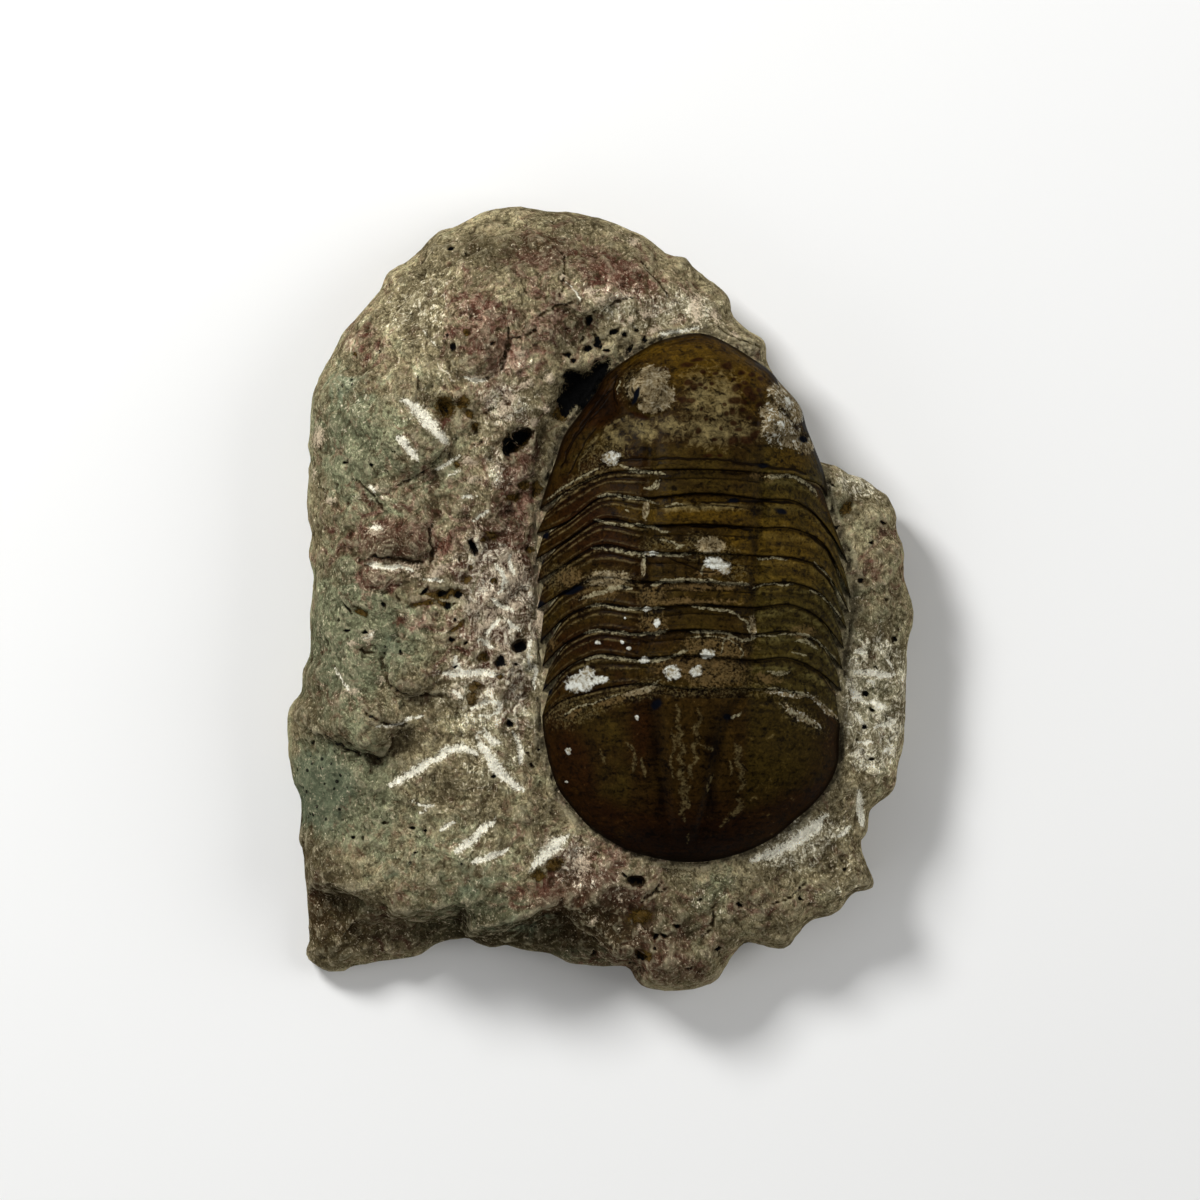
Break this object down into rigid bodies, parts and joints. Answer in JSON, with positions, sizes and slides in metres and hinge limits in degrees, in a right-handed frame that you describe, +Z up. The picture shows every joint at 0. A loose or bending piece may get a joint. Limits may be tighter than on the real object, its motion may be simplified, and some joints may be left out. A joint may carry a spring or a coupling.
{
  "type": "subasaphus trilobite fossil",
  "caption": "Complete trilobite fossil with head shield, jointed thorax and tail shield, lying back up in a loose lump of limestone matrix that rests on a flat underside.",
  "frame": {"origin": "on the flat underside, below the middle of the stone's bounding box", "axes": "+Z up out of the shell's back, +Y towards the animal's head, +X towards the animal's right side as seen from above"},
  "size_m": [0.088, 0.1103, 0.03],
  "materials": {
    "limestone": "rough broken limestone, mottled grey green, tan and pinkish purple, with pale tool strokes and dark pits",
    "calcite_shell": "smooth dark amber brown calcite shell with a soft gloss"
  },
  "bodies": {
    "root": {"matrix": "limestone", "cephalon": "calcite_shell", "thorax_segment_1": "calcite_shell", "thorax_segment_2": "calcite_shell", "thorax_segment_3": "calcite_shell", "thorax_segment_4": "calcite_shell", "thorax_segment_5": "calcite_shell", "thorax_segment_6": "calcite_shell", "thorax_segment_7": "calcite_shell", "thorax_segment_8": "calcite_shell", "pygidium": "calcite_shell"}
  },
  "joints": []
}
